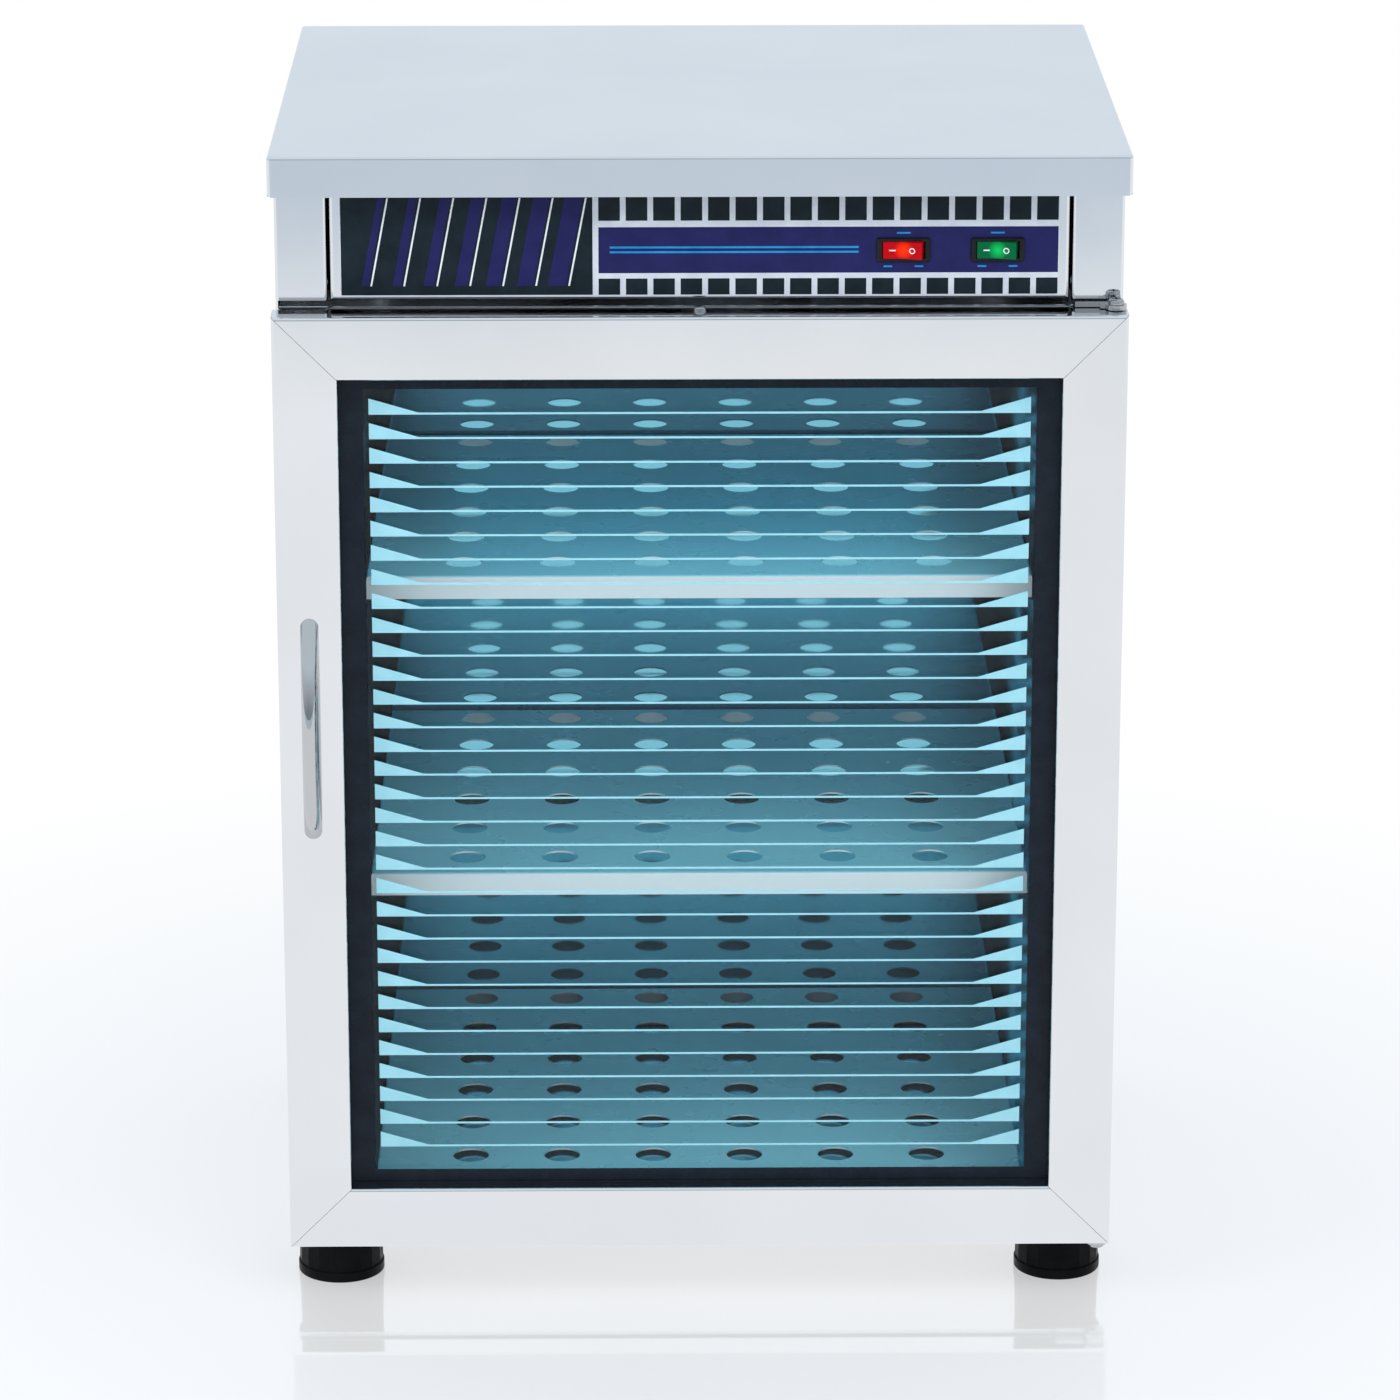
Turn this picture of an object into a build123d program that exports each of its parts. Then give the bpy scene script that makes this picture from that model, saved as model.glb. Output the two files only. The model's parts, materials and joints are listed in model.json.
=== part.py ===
"""UV sterilizer cabinet: folded stainless casing, glass door, perforated shelves, lamp and controls.

Millimetres, Z up, front towards -Y. The origin is on the floor, in the middle of the overall box.
"""
import os
from math import asin, cos, sin

from build123d import *

# Driving dimensions
LID_W = 496.0
LID_D = 396.0
HEIGHT = 706.0
LID_SKIRT = 23.5
LID_CORNER = 3.0
SHEET = 1.0
BEND = 1.0
SIDE_OVERHANG = 2.0
FRONT_OVERHANG = 28.0
BACK_OVERHANG = 2.0
FOOT_H = 32.0
FOOT_R = 26.2
FOOT_RING_H = 6.4
FOOT_FACETS = 18
FOOT_IN = 26.5
FOOT_FROM_EDGE = 27.0
NUT_R = 9.0
NUT_H = 8.0
POST_W = 30.0
POST_RETURN = 14.0
SEAM = 1.7

DOOR_INSET = 0.5
PANEL_H = 94.5
DOOR_T = 22.0
DOOR_GAP = 4.0
DOOR_CLEAR = 2.5
FRAME_W = 37.7
FRAME_LIP = 11.0
FRAME_FLANGE = 14.0
MITRE_SEAM = 0.3
GLASS_T = 5.0
GASKET_T = 2.0
GASKET_W = 7.0
SEAL_IN = 8.0
SEAL_W = 6.0
SEAL_T = 3.6

PIVOT_IN = 6.5
PIVOT_FROM_BACK = 6.0
PIVOT_R = 2.5
PIVOT_CLEAR = 0.05
PLATE_T = 2.6
PLATE_GAP = 0.5
TONGUE_L = 34.0
TONGUE_FRONT = 6.0
BUSH_L = 14.0
EAR_CLEAR = 0.3
LOWER_LEDGE = 5.0
PIVOT_DEPTH = 13.0
PIVOT_HEAD_R = 4.7
PIVOT_HEAD_H = 3.4
PIN_HEAD_R = 4.2
PIN_HEAD_H = 2.0
PIN_UP = 14.5
SCREW_HEAD_R = 3.6
SCREW_SHANK_R = 2.0
TOP_SCREW_IN = 5.0
TOP_SCREW_L = 9.0

HANDLE_L = 134.0
HANDLE_RISE = 27.0
HANDLE_END_W = 11.5
HANDLE_MID_W = 8.6
HANDLE_THICK = 8.0
HANDLE_ABOVE_MID = 40.0
HANDLE_SINK = 5.0
HANDLE_SCREW_IN = 7.5

SHELF_SIDE_GAP = 18.0
SHELF_LIP = 14.0
SHELF_UP = (411.5, 226.0, 32.5)
SHELF_FRONT = 20.0
SHELF_BACK_GAP = 4.0
HOLE_R = 11.0
HOLE_COLUMNS = 6
HOLE_ROWS = 6
HOLE_SIDE = 57.0
HOLE_FRONT = 30.0
HOLE_BACK = 19.0
LEDGE_GRIP = 2.0
LEDGE_T = 1.5
LEDGE_UP = 10.0

CHAMBER_BACK_GAP = 13.0
HEADER_H = 36.0
HEADER_FLANGE = 40.0

SWITCH_IN = (96.3, 41.8)
SWITCH_DROP = 61.0
SWITCH_BODY_W = 27.6
SWITCH_BODY_H = 12.0
SWITCH_BODY_L = 20.0
POCKET_W = 25.2
POCKET_H = 10.4
BEZEL_W = 31.0
BEZEL_H = 14.0
BEZEL_T = 1.8
OVERLAY_T = 0.4
OVERLAY_SIDE = 6.3
OVERLAY_INSET = 2.5
OVERLAY_TOP_DROP = 14.0
ROCKER_TILT = 9.0
ROCKER_L = 22.8
ROCKER_H = 9.7
ROCKER_MID = 4.0
ROCKER_V = 1.8
ROCKER_PROUD = 0.8

PLUNGER_R = 3.0
PLUNGER_BELOW = 10.0
CATCH_IN = 9.5
CATCH_DOWN = 98.5
CATCH_HALF_W = 7.0
CATCH_HALF_H = 21.0
BUSH_R = 4.0
LEG_T = 1.6
LEG_H = 9.5
LEG_SCREW_UP = 5.0
HINGE_SCREW_IN = 8.0
HINGE_SCREW_OUT = 9.0
HINGE_SCREW_BACK = 21.0
RIVET_IN = 7.0
RIVET_BEFORE_PIVOT = 10.0
LEG_BEFORE_PIVOT = 5.0
STUD_R = 5.0

LAMP_R = 12.75
LAMP_END_ROOM = 50.0
LAMP_BACK = 70.0
LAMP_DROP = 24.0
LAMP_CAP_L = 8.0
LAMP_PIN_L = 5.0
LAMP_PIN_HALF = 6.35
HOLDER_T = 14.0
HOLDER_HALF = 13.0
REFLECTOR_HALF = 34.0
REFLECTOR_FLAT = 14.0
REFLECTOR_DROP = 14.0
BALLAST_L = 120.0
BALLAST_W = 42.0
BALLAST_H = 32.0
BALLAST_EAR = 15.0
BALLAST_X = -70.0
ELECTRICS_BACK = 101.0
STARTER_X = 60.0
STARTER_R = 10.7
STARTER_L = 36.0
SOCKET_R = 15.0
SOCKET_H = 12.0
SOCKET_FLOOR = 4.0
TERMINAL_L = 80.0
TERMINAL_W = 18.0
TERMINAL_H = 16.0
TERMINAL_PITCH = 11.0
TERMINAL_BACK = 200.0

VENT_UP = 34.0
VENT_ROW = 16.0
VENT_PITCH = 30.0
VENT_L = 20.0
VENT_W = 4.0
GLAND_PROUD = 8.0
GLAND_R = 7.7
GLAND_IN = 96.0
GLAND_UP = 38.0
GLAND_COLLAR_R = 12.0
GLAND_COLLAR_T = 3.0
GLAND_NOSE_R = 8.5
GLAND_BORE_R = 3.6
GLAND_NUT_T = 4.0

# Places worked out from them. The front plane of the posts is the base for depths.
REAR = LID_D - FRONT_OVERHANG - BACK_OVERHANG + GLAND_PROUD
HANDLE_FRONT = -DOOR_GAP - DOOR_T - HANDLE_RISE
FRONT_Y = -(HANDLE_FRONT + REAR) / 2
LID_FRONT_Y = FRONT_Y - FRONT_OVERHANG
LID_BACK_Y = LID_FRONT_Y + LID_D
BODY_BACK_Y = LID_BACK_Y - BACK_OVERHANG
BODY_HALF = LID_W / 2 - SIDE_OVERHANG
POST_IN = BODY_HALF - POST_W
BODY_Z = FOOT_H
LID_UNDER_Z = HEIGHT - SHEET

DOOR_Z = BODY_Z + DOOR_CLEAR
DOOR_TOP_Z = HEIGHT - PANEL_H
DOOR_H = DOOR_TOP_Z - DOOR_Z
DOOR_W = LID_W - 2 * DOOR_INSET
DOOR_HALF = DOOR_W / 2
DOOR_BACK_Y = FRONT_Y - DOOR_GAP
DOOR_FRONT_Y = DOOR_BACK_Y - DOOR_T
DOOR_MID_Z = DOOR_Z + DOOR_H / 2
PIVOT_X = DOOR_HALF - PIVOT_IN
PIVOT_Y = DOOR_BACK_Y - PIVOT_FROM_BACK
PLATE_Z = DOOR_TOP_Z + PLATE_GAP
FASCIA_Z = PLATE_Z + PLATE_T + 0.9

CHAMBER_HALF = POST_IN - SHEET
CHAMBER_BACK_Y = BODY_BACK_Y - CHAMBER_BACK_GAP
CEILING_Z = PLATE_Z - 2 * SHEET
SHELF_TOPS = tuple(BODY_Z + up for up in SHELF_UP)
SHELF_W = 2 * (CHAMBER_HALF - SHELF_SIDE_GAP)
LEDGE_W = SHELF_SIDE_GAP + LEDGE_GRIP
FLOOR_Z = SHELF_TOPS[2] - SHELF_LIP
FASCIA_HALF = POST_IN - SEAM
OVERLAY_W = 2 * (FASCIA_HALF - OVERLAY_SIDE)
SWITCH_X = tuple(FASCIA_HALF - inset for inset in SWITCH_IN)
SWITCH_Z = HEIGHT - SWITCH_DROP
ROCKER_Y = FRONT_Y - OVERLAY_T - BEZEL_T - ROCKER_PROUD + ROCKER_MID
PLUNGER_Z = DOOR_TOP_Z - FRAME_FLANGE - PLUNGER_BELOW
CATCH_X = -POST_IN - CATCH_IN
CATCH_Z = DOOR_TOP_Z - CATCH_DOWN
HINGE_SCREW_X = (POST_IN + HINGE_SCREW_IN, BODY_HALF - HINGE_SCREW_OUT)
HINGE_SCREW_Y = FRONT_Y + HINGE_SCREW_BACK
RIVET_X = (POST_IN + RIVET_IN, PIVOT_X - RIVET_BEFORE_PIVOT)
RIVET_Z = BODY_Z + LEG_SCREW_UP
GLASS_Y = DOOR_FRONT_Y + FRAME_LIP + GASKET_T
HANDLE_X = -DOOR_HALF + FRAME_W / 2
HANDLE_UP = DOOR_MID_Z + HANDLE_ABOVE_MID
HANDLE_FEET_Z = (HANDLE_UP - HANDLE_L / 2 + HANDLE_SCREW_IN, HANDLE_UP + HANDLE_L / 2 - HANDLE_SCREW_IN)
LAMP_L = 2 * (CHAMBER_HALF - LAMP_END_ROOM)
LAMP_Y = FRONT_Y + LAMP_BACK
LAMP_Z = CEILING_Z - LAMP_DROP
ELECTRICS_Y = LAMP_Y + ELECTRICS_BACK
VENT_Z = PLATE_Z + VENT_UP
GLAND_X = -BODY_HALF + GLAND_IN
GLAND_Z = PLATE_Z + GLAND_UP
FOOT_X = BODY_HALF - FOOT_IN
FOOT_Y = (FRONT_Y + FOOT_FROM_EDGE, BODY_BACK_Y - FOOT_FROM_EDGE)


def block(x0, x1, y0, y1, z0, z1):
    """Plain block between two corners."""
    return Pos((x0 + x1) / 2, (y0 + y1) / 2, (z0 + z1) / 2) * Box(x1 - x0, y1 - y0, z1 - z0)


def rod(x, y, z, radius, height):
    """Upright round bar standing on z."""
    return Pos(x, y, z) * Cylinder(radius, height, align=(Align.CENTER, Align.CENTER, Align.MIN))


def rod_back(x, y, z, radius, length):
    """Round bar running towards +Y from y."""
    bar = Cylinder(radius, length, align=(Align.CENTER, Align.CENTER, Align.MIN))
    return Pos(x, y, z) * Rot(-90, 0, 0) * bar


def rod_across(x, y, z, radius, length):
    """Round bar running towards +X from x."""
    bar = Cylinder(radius, length, align=(Align.CENTER, Align.CENTER, Align.MIN))
    return Pos(x, y, z) * Rot(0, 90, 0) * bar


def pan_head(radius, height):
    """Domed screw head standing on the ground plane, with a cross recess."""
    head = Cylinder(radius, height, align=(Align.CENTER, Align.CENTER, Align.MIN))
    head = fillet(head.edges().group_by(Axis.Z)[-1], height * 0.6)
    arm = Pos(0, 0, height * 0.55) * Box(radius * 1.1, radius * 0.24, height)
    arm = Pos(0, 0, height * 0.5) * arm
    return head - arm - Rot(0, 0, 90) * arm


def offset_corners(points, distance):
    """The same path moved to its left by a distance, with sharp corners."""
    path = [Vector(*p) for p in points]
    normals = []
    for a, b in zip(path, path[1:]):
        along = (b - a).normalized()
        normals.append(Vector(-along.Y, along.X))
    moved = [path[0] + normals[0] * distance]
    for corner, n0, n1 in zip(path[1:], normals, normals[1:]):
        both = n0 + n1
        moved.append(corner + both * (2 * distance / both.dot(both)))
    moved.append(path[-1] + normals[-1] * distance)
    return moved


def folded_sheet(points, thickness, bend):
    """Cross-section of a folded sheet whose outer skin follows the points; the metal is on the left."""
    path = [Vector(*p) for p in points]
    skin_radii = []
    inner_radii = []
    for a, b, c in zip(path, path[1:], path[2:]):
        left_turn = (b - a).cross(c - b).Z > 0
        skin_radii.append(bend + thickness if left_turn else bend)
        inner_radii.append(bend if left_turn else bend + thickness)
    skin = FilletPolyline(*path, radius=skin_radii)
    inner = FilletPolyline(*offset_corners(points, thickness), radius=inner_radii)
    return make_face([*skin.edges(), *inner.edges(), Line(skin @ 0, inner @ 0), Line(skin @ 1, inner @ 1)])


def pan(x0, x1, y0, y1, z0, z1, open_face, edge_radius):
    """Folded tray: a rounded box hollowed from one open face."""
    body = block(x0, x1, y0, y1, z0, z1)
    axis, last = open_face
    closed = body.faces().sort_by(axis)[0 if last else -1]
    body = fillet(closed.edges(), edge_radius)
    face = body.faces().sort_by(axis)[-1 if last else 0]
    return offset(body, amount=-SHEET, openings=face)


# Casing


def make_lid():
    """Shallow cap with a skirt all round, relieved lower front corners and a turned-in front hem."""
    cap = block(-LID_W / 2, LID_W / 2, LID_FRONT_Y, LID_BACK_Y, HEIGHT - LID_SKIRT, HEIGHT)
    cap = fillet(cap.edges().filter_by(Axis.Z), 2.5)
    cap = fillet(cap.edges().group_by(Axis.Z)[-1], 1.6)
    hollow = block(
        -LID_W / 2 + SHEET, LID_W / 2 - SHEET, LID_FRONT_Y + SHEET, LID_BACK_Y - SHEET,
        HEIGHT - LID_SKIRT - 1, LID_UNDER_Z,
    )
    hollow = fillet(hollow.edges().filter_by(Axis.Z), 1.5)
    hem_in = FRONT_OVERHANG / 2
    hem = block(
        -LID_W / 2 + 3, LID_W / 2 - 3, LID_FRONT_Y + SHEET / 2, LID_FRONT_Y + hem_in,
        HEIGHT - LID_SKIRT, HEIGHT - LID_SKIRT + SHEET,
    )
    cap = cap - hollow + hem
    low = HEIGHT - LID_SKIRT
    for sign in (-1, 1):
        centre_x = sign * (LID_W / 2 - LID_CORNER)
        x0, x1 = sorted((centre_x, sign * (LID_W / 2 + 1)))
        relief = block(x0, x1, LID_FRONT_Y - 1, LID_FRONT_Y + LID_CORNER, low - 1, low + LID_CORNER)
        kept = rod_back(centre_x, LID_FRONT_Y - 2, low + LID_CORNER, LID_CORNER, 2 * LID_CORNER)
        cap = cap - (relief - kept)
    return cap


def make_side(sign):
    """Side panel folded round a front post and a back flange, slotted for the hinge plate."""
    path = [
        (POST_IN, FRONT_Y + POST_RETURN),
        (POST_IN, FRONT_Y),
        (BODY_HALF, FRONT_Y),
        (BODY_HALF, BODY_BACK_Y),
        (BODY_HALF - 20, BODY_BACK_Y),
    ]
    panel = extrude(folded_sheet(path, SHEET, BEND), LID_UNDER_Z - BODY_Z)
    panel = Pos(0, 0, BODY_Z) * panel
    slot = block(
        POST_IN - 1, BODY_HALF - 1.5, FRONT_Y - 1, FRONT_Y + POST_RETURN + 1,
        CEILING_Z + SHEET - 0.4, FASCIA_Z,
    )
    panel = panel - slot
    if sign > 0:
        for x in RIVET_X:
            panel = panel - rod_back(x, FRONT_Y - 1, RIVET_Z, 2.05, SHEET + 2)
    if sign < 0:
        panel = mirror(panel, Plane.YZ)
        catch_hole = block(
            CATCH_X - CATCH_HALF_W - 0.2, CATCH_X + CATCH_HALF_W + 0.2, FRONT_Y - 1, FRONT_Y + 2,
            CATCH_Z - CATCH_HALF_H - 0.2, CATCH_Z + CATCH_HALF_H + 0.2,
        )
        panel = panel - catch_hole
    return panel


def make_back():
    """Flat back with two rows of vent slots and the cable hole."""
    plate = block(
        -BODY_HALF + 8, BODY_HALF - 8, BODY_BACK_Y, BODY_BACK_Y + SHEET, BODY_Z + 2, HEIGHT - LID_SKIRT - 1
    )
    plate = fillet(plate.edges().filter_by(Axis.Y), 4)
    slots = []
    for row_z in (VENT_Z, VENT_Z + VENT_ROW):
        for column in range(-3, 4):
            x = column * VENT_PITCH
            slot = block(
                x - VENT_L / 2, x + VENT_L / 2, BODY_BACK_Y - 1, BODY_BACK_Y + SHEET + 1,
                row_z - VENT_W / 2, row_z + VENT_W / 2,
            )
            slots.append(fillet(slot.edges().filter_by(Axis.Y), VENT_W * 0.47))
    return plate - slots - rod_back(GLAND_X, BODY_BACK_Y - 1, GLAND_Z, GLAND_R + 0.3, SHEET + 2)


def make_base():
    """Bottom pan: plate, front sill between the posts, upturned side and back edges."""
    inner = BODY_HALF - SHEET
    back = BODY_BACK_Y - SHEET - BEND
    behind_posts = FRONT_Y + POST_RETURN
    pan_plate = block(-inner, inner, behind_posts, back, BODY_Z, BODY_Z + SHEET)
    pan_plate = pan_plate + block(-POST_IN, POST_IN, FRONT_Y, behind_posts, BODY_Z, BODY_Z + SHEET)
    sill = block(
        -CHAMBER_HALF - SHEET, CHAMBER_HALF + SHEET, FRONT_Y, FRONT_Y + SHEET, BODY_Z, FLOOR_Z - SHEET
    )
    edges = [
        block(-inner, -inner + SHEET, behind_posts, back, BODY_Z, BODY_Z + 14),
        block(inner - SHEET, inner, behind_posts, back, BODY_Z, BODY_Z + 14),
        block(-inner, inner, back - SHEET, back, BODY_Z, BODY_Z + 14),
    ]
    base = pan_plate + sill + edges
    for x in (-FOOT_X, FOOT_X):
        for y in FOOT_Y:
            base = base - rod(x, y, BODY_Z - 1, STUD_R + 0.4, 4)
    return base


def make_header():
    """Rail behind the top of the door; its flange carries the hinge plate."""
    face = block(
        -CHAMBER_HALF, CHAMBER_HALF, FRONT_Y, FRONT_Y + SHEET, CEILING_Z + 2 * SHEET - HEADER_H, PLATE_Z
    )
    flange = block(
        -BODY_HALF + 2, BODY_HALF - 2, FRONT_Y + 0.2, FRONT_Y + HEADER_FLANGE, PLATE_Z - SHEET, PLATE_Z
    )
    return face + flange - rod_back(0, FRONT_Y - 1, PLUNGER_Z, PLUNGER_R + 0.3, 3)


# Chamber


def make_liner_side(sign):
    """Flat side wall of the chamber, lying against the return of the post."""
    x0, x1 = sorted((sign * CHAMBER_HALF, sign * (CHAMBER_HALF + SHEET)))
    return block(x0, x1, FRONT_Y + 2, CHAMBER_BACK_Y + SHEET, FLOOR_Z, CEILING_Z)


def make_shelf(top, front, back):
    """Perforated plate with four edges folded down."""
    shelf = pan(
        -SHELF_W / 2, SHELF_W / 2, front, back, top - SHELF_LIP, top, (Axis.Z, False), 2.0
    )
    pitch_x = (SHELF_W - 2 * HOLE_SIDE) / (HOLE_COLUMNS - 1)
    pitch_y = (back - front - HOLE_FRONT - HOLE_BACK) / (HOLE_ROWS - 1)
    holes = []
    for column in range(HOLE_COLUMNS):
        for row in range(HOLE_ROWS):
            x = -SHELF_W / 2 + HOLE_SIDE + column * pitch_x
            y = front + HOLE_FRONT + row * pitch_y
            holes.append(rod(x, y, top - SHEET - 2, HOLE_R, SHEET + 4))
    return shelf - holes


def make_ledge(sign, top):
    """Angle on the side wall that a shelf's folded edge stands on."""
    rest_z = top - SHELF_LIP
    front = FRONT_Y + SHELF_FRONT
    wall = sign * CHAMBER_HALF
    tread = sorted((wall, wall - sign * LEDGE_W))
    riser = sorted((wall, wall - sign * LEDGE_T))
    return block(*tread, front, CHAMBER_BACK_Y, rest_z - LEDGE_T, rest_z) + block(
        *riser, front, CHAMBER_BACK_Y, rest_z - LEDGE_T, rest_z + LEDGE_UP
    )


# Controls


def make_fascia():
    """Control panel tray with rounded edges and two switch openings."""
    panel = pan(
        -FASCIA_HALF, FASCIA_HALF, FRONT_Y, FRONT_Y + POST_RETURN, FASCIA_Z, LID_UNDER_Z, (Axis.Y, True), 2.4
    )
    for x in SWITCH_X:
        panel = panel - block(
            x - SWITCH_BODY_W / 2 - 0.1, x + SWITCH_BODY_W / 2 + 0.1, FRONT_Y - 1, FRONT_Y + 3,
            SWITCH_Z - SWITCH_BODY_H / 2 - 0.1, SWITCH_Z + SWITCH_BODY_H / 2 + 0.1,
        )
    return panel


def make_overlay():
    """Printed film on the control panel."""
    film = block(
        -OVERLAY_W / 2, OVERLAY_W / 2, FRONT_Y - OVERLAY_T, FRONT_Y,
        FASCIA_Z + OVERLAY_INSET, HEIGHT - OVERLAY_TOP_DROP,
    )
    film = fillet(film.edges().filter_by(Axis.Y), 3)
    for x in SWITCH_X:
        film = film - block(
            x - SWITCH_BODY_W / 2 - 0.2, x + SWITCH_BODY_W / 2 + 0.2, FRONT_Y - 2, FRONT_Y + 1,
            SWITCH_Z - SWITCH_BODY_H / 2 - 0.2, SWITCH_Z + SWITCH_BODY_H / 2 + 0.2,
        )
    return film


def make_switch_housing(x):
    """Bezel on the film, box behind the panel, pocket for the rocker and its pivots."""
    face_y = FRONT_Y - OVERLAY_T
    bezel = block(
        x - BEZEL_W / 2, x + BEZEL_W / 2, face_y - BEZEL_T, face_y,
        SWITCH_Z - BEZEL_H / 2, SWITCH_Z + BEZEL_H / 2,
    )
    bezel = fillet(bezel.edges().filter_by(Axis.Y), 1.5)
    bezel = fillet(bezel.faces().sort_by(Axis.Y)[0].edges(), 0.8)
    body = block(
        x - SWITCH_BODY_W / 2, x + SWITCH_BODY_W / 2, face_y, face_y + SWITCH_BODY_L,
        SWITCH_Z - SWITCH_BODY_H / 2, SWITCH_Z + SWITCH_BODY_H / 2,
    )
    pocket = block(
        x - POCKET_W / 2, x + POCKET_W / 2, face_y - BEZEL_T - 1, ROCKER_Y + 5.6,
        SWITCH_Z - POCKET_H / 2, SWITCH_Z + POCKET_H / 2,
    )
    pivot_hole = rod(x, ROCKER_Y, SWITCH_Z - POCKET_H / 2 - 0.6, 1.25, POCKET_H + 1.2)
    tabs = []
    tab_y = face_y + SWITCH_BODY_L
    for tab_x in (x - 8, x, x + 8):
        tabs.append(block(tab_x - 0.4, tab_x + 0.4, tab_y, tab_y + 7, SWITCH_Z - 2.4, SWITCH_Z + 2.4))
    return bezel + body + tabs - pocket - pivot_hole


def make_rocker(x):
    """Rocker with a shallow V face, tilted with its left half pressed."""
    outline = Polyline(
        (-ROCKER_L / 2, -ROCKER_MID - ROCKER_V),
        (0, -ROCKER_MID),
        (ROCKER_L / 2, -ROCKER_MID - ROCKER_V),
        (ROCKER_L / 2, 3.0),
        (-ROCKER_L / 2, 3.0),
        close=True,
    )
    paddle = extrude(make_face(outline), ROCKER_H / 2, both=True)
    paddle = fillet(paddle.edges().filter_by(Axis.Z).group_by(Axis.Y)[0], 0.8)
    pin = Cylinder(1.2, POCKET_H + 0.9)
    return Pos(x, ROCKER_Y, SWITCH_Z) * Rot(0, 0, -ROCKER_TILT) * (paddle + pin)


def make_catch():
    """Magnetic catch: a block through the left post, with a flange behind its sheet."""
    x0 = CATCH_X - CATCH_HALF_W
    x1 = CATCH_X + CATCH_HALF_W
    magnet = block(x0, x1, FRONT_Y - 2.2, FRONT_Y + 11, CATCH_Z - CATCH_HALF_H, CATCH_Z + CATCH_HALF_H)
    flange_half = CATCH_HALF_H + 5
    flange = block(x0, x1, FRONT_Y + SHEET, FRONT_Y + 3, CATCH_Z - flange_half, CATCH_Z + flange_half)
    return magnet + flange


# Door


def make_frame_bar(length):
    """One folded frame piece, mitred at both ends, lying along local Z with its outer edge on local X=0."""
    path = [(FRAME_FLANGE, DOOR_T), (0, DOOR_T), (0, 0), (FRAME_W, 0), (FRAME_W, FRAME_LIP)]
    bar = extrude(folded_sheet(path, SHEET, BEND), length / 2, both=True)
    half = length / 2 - MITRE_SEAM / 2
    keep = Polyline(
        (-0.5, -half - 0.5),
        (FRAME_W + 0.5, -half + FRAME_W + 0.5),
        (FRAME_W + 0.5, half - FRAME_W - 0.5),
        (-0.5, half + 0.5),
        close=True,
    )
    slab = extrude(Plane.XZ * make_face(keep), DOOR_T * 2, both=True)
    return bar & slab


def make_door_frame():
    """Four mitred bars: left and right stiles, top and bottom rails."""
    y = DOOR_FRONT_Y
    places = {
        "door_stile_left": (Plane((-DOOR_HALF, y, DOOR_MID_Z), (1, 0, 0), (0, 0, 1)), DOOR_H),
        "door_stile_right": (Plane((DOOR_HALF, y, DOOR_MID_Z), (-1, 0, 0), (0, 0, -1)), DOOR_H),
        "door_rail_top": (Plane((0, y, DOOR_TOP_Z), (0, 0, -1), (1, 0, 0)), DOOR_W),
        "door_rail_bottom": (Plane((0, y, DOOR_Z), (0, 0, 1), (-1, 0, 0)), DOOR_W),
    }
    bars = {}
    for name, (plane, length) in places.items():
        bars[name] = plane.location * make_frame_bar(length)
    for z in HANDLE_FEET_Z:
        bars["door_stile_left"] = bars["door_stile_left"] - rod_back(HANDLE_X, y - 1, z, 2.2, 4)
    bush_hole = BUSH_R + 0.05
    bars["door_rail_top"] = bars["door_rail_top"] - rod(PIVOT_X, PIVOT_Y, DOOR_TOP_Z - 3, bush_hole, 5)
    bars["door_rail_bottom"] = bars["door_rail_bottom"] - rod(PIVOT_X, PIVOT_Y, DOOR_Z - 2, bush_hole, 5)
    bars["door_rail_top"] = bars["door_rail_top"] - rod(0, DOOR_BACK_Y - TOP_SCREW_IN, DOOR_TOP_Z - 3, 1.9, 5)
    return bars


def ring(inset_out, inset_in, y0, y1):
    """Rectangular frame inside the door outline, between two insets from its edge."""
    outer = block(
        -DOOR_HALF + inset_out, DOOR_HALF - inset_out, y0, y1, DOOR_Z + inset_out, DOOR_TOP_Z - inset_out
    )
    inner = block(
        -DOOR_HALF + inset_in, DOOR_HALF - inset_in, y0 - 1, y1 + 1, DOOR_Z + inset_in, DOOR_TOP_Z - inset_in
    )
    return outer - inner


def make_retainer():
    """Inner frame that closes the back of the channels and holds the glass from behind."""
    glass_back = GLASS_Y + GLASS_T
    plate = ring(FRAME_FLANGE, FRAME_W, DOOR_BACK_Y - SHEET, DOOR_BACK_Y)
    web = ring(FRAME_W - SHEET, FRAME_W, glass_back, DOOR_BACK_Y - SHEET)
    foot = ring(FRAME_W - 6, FRAME_W - SHEET, glass_back, glass_back + SHEET)
    return plate + web + foot


def make_handle():
    """Bow handle: an arched oval bar, wider towards the ends that meet the door."""
    rise = HANDLE_RISE - HANDLE_THICK / 2
    half = HANDLE_L / 2 - HANDLE_SINK
    radius = (half**2 + rise**2) / (2 * rise)
    reach = asin(half / radius) + 0.12
    sections = []
    for step in range(-3, 4):
        share = step / 3
        angle = share * reach
        spot = (0, radius - rise - radius * cos(angle), radius * sin(angle))
        across = Plane(spot, (1, 0, 0), (0, sin(angle), cos(angle)))
        width = HANDLE_MID_W + (HANDLE_END_W - HANDLE_MID_W) * share**2
        sections.append(across * Ellipse(width / 2, HANDLE_THICK / 2))
    behind_door = block(-HANDLE_L, HANDLE_L, 0, HANDLE_L, -HANDLE_L, HANDLE_L)
    grip = loft(sections) - behind_door
    grip = Pos(HANDLE_X, DOOR_FRONT_Y, HANDLE_UP) * grip
    for z in HANDLE_FEET_Z:
        grip = grip - rod_back(HANDLE_X, DOOR_FRONT_Y - 4, z, 2.0, 5)
    return grip


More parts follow.
